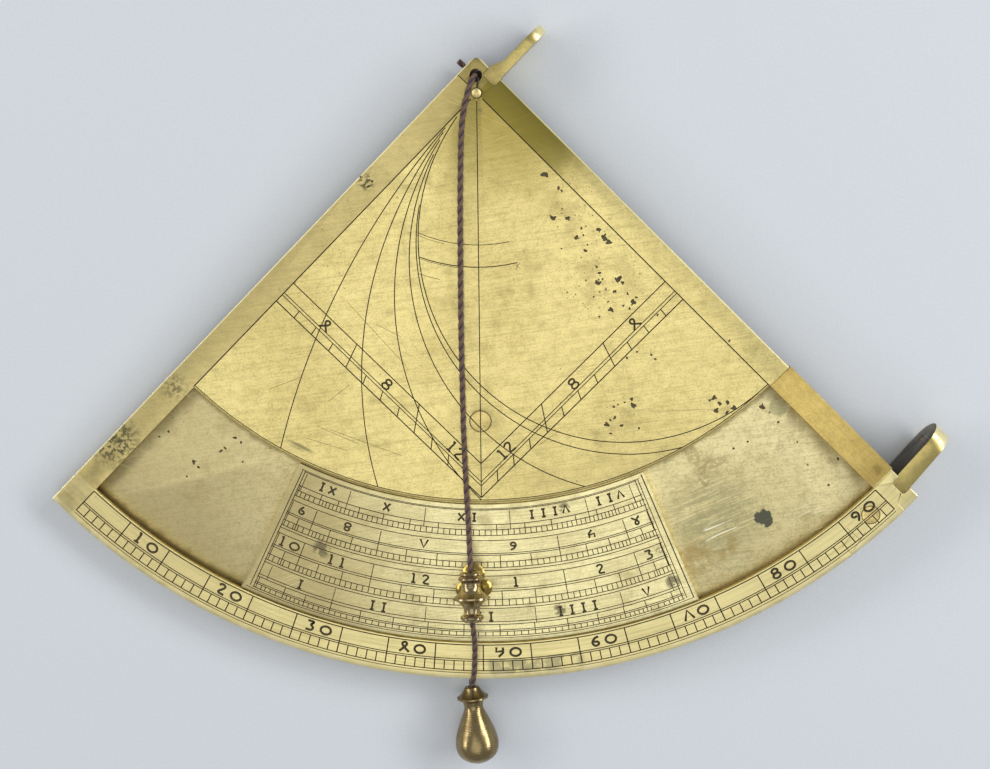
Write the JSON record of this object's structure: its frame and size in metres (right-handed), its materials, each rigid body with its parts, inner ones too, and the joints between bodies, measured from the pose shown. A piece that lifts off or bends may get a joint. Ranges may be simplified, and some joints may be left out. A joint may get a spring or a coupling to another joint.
{
  "type": "horary quadrant",
  "caption": "Brass quarter-circle plate with a graduated limb, a calendar cursor sliding in an arc-shaped channel, edge sights, and a bead and plumb bob on a thread.",
  "frame": {"origin": "on the flat back face, on the axis of the peg at the apex", "axes": "Z out of the engraved face, Y toward the apex along the centre line, X toward the edge with the sights"},
  "size_m": [0.183, 0.1521, 0.0167],
  "materials": {
    "plate_brass": "dull grey-green tarnished brass, pitted, with brown stains along the walls",
    "face_brass": "pale worn gilding over brass, hand rubbed, pitted and engraved",
    "strip_brass": "warmer, more orange brass, satin",
    "cursor_brass": "pale worn gilding over brass, closely engraved",
    "knob_brass": "dark polished brass",
    "peg_brass": "bright polished brass",
    "rivet_brass": "redder brass, worn flush",
    "sight_brass": "dull brass, polished at the tips",
    "bead_brass": "polished turned brass",
    "bob_brass": "satin turned brass with fine tool rings",
    "silk_thread": "twisted purple-brown silk",
    "binding_thread": "fine dark thread"
  },
  "bodies": {
    "plate": {"back_plate": "plate_brass", "face_plate": "face_brass", "closing_strip": "strip_brass", "strip_pin_inner": "rivet_brass", "strip_pin_outer": "rivet_brass", "apex_peg": "peg_brass", "peg_binding": "binding_thread", "sector_rivet": "rivet_brass", "limb_rivet": "rivet_brass", "upper_sight_vane": "sight_brass", "lower_sight_vane": "sight_brass", "anchor_knot": "silk_thread", "anchor_tail": "silk_thread"},
    "cursor": {"cursor_plate": "cursor_brass", "cursor_knob": "knob_brass"},
    "plumb": {"thread_apex": "silk_thread", "thread_upper": "silk_thread", "thread_lower": "silk_thread", "bob_knot": "silk_thread", "bob_cap": "bob_brass", "bob_body": "bob_brass"},
    "bead": {"bead": "bead_brass"}
  },
  "joints": [
    {"name": "cursor_slide", "type": "hinge", "parent": "plate", "child": "cursor", "pos_m": [0, 0, 0], "axis": [0, 0, 1], "range_deg": [-18.2, 21.4]},
    {"name": "plumb_swing", "type": "hinge", "parent": "plate", "child": "plumb", "pos_m": [0, 0, 0], "axis": [0, 0, 1], "range_deg": [-44, 46], "deforming": ["thread_apex"]},
    {"name": "bead_slide", "type": "slide", "parent": "plumb", "child": "bead", "axis": [-0.0177, -0.9998, 0], "range_m": [-0.06, 0.006], "deforming": ["thread_upper", "thread_lower"]}
  ]
}
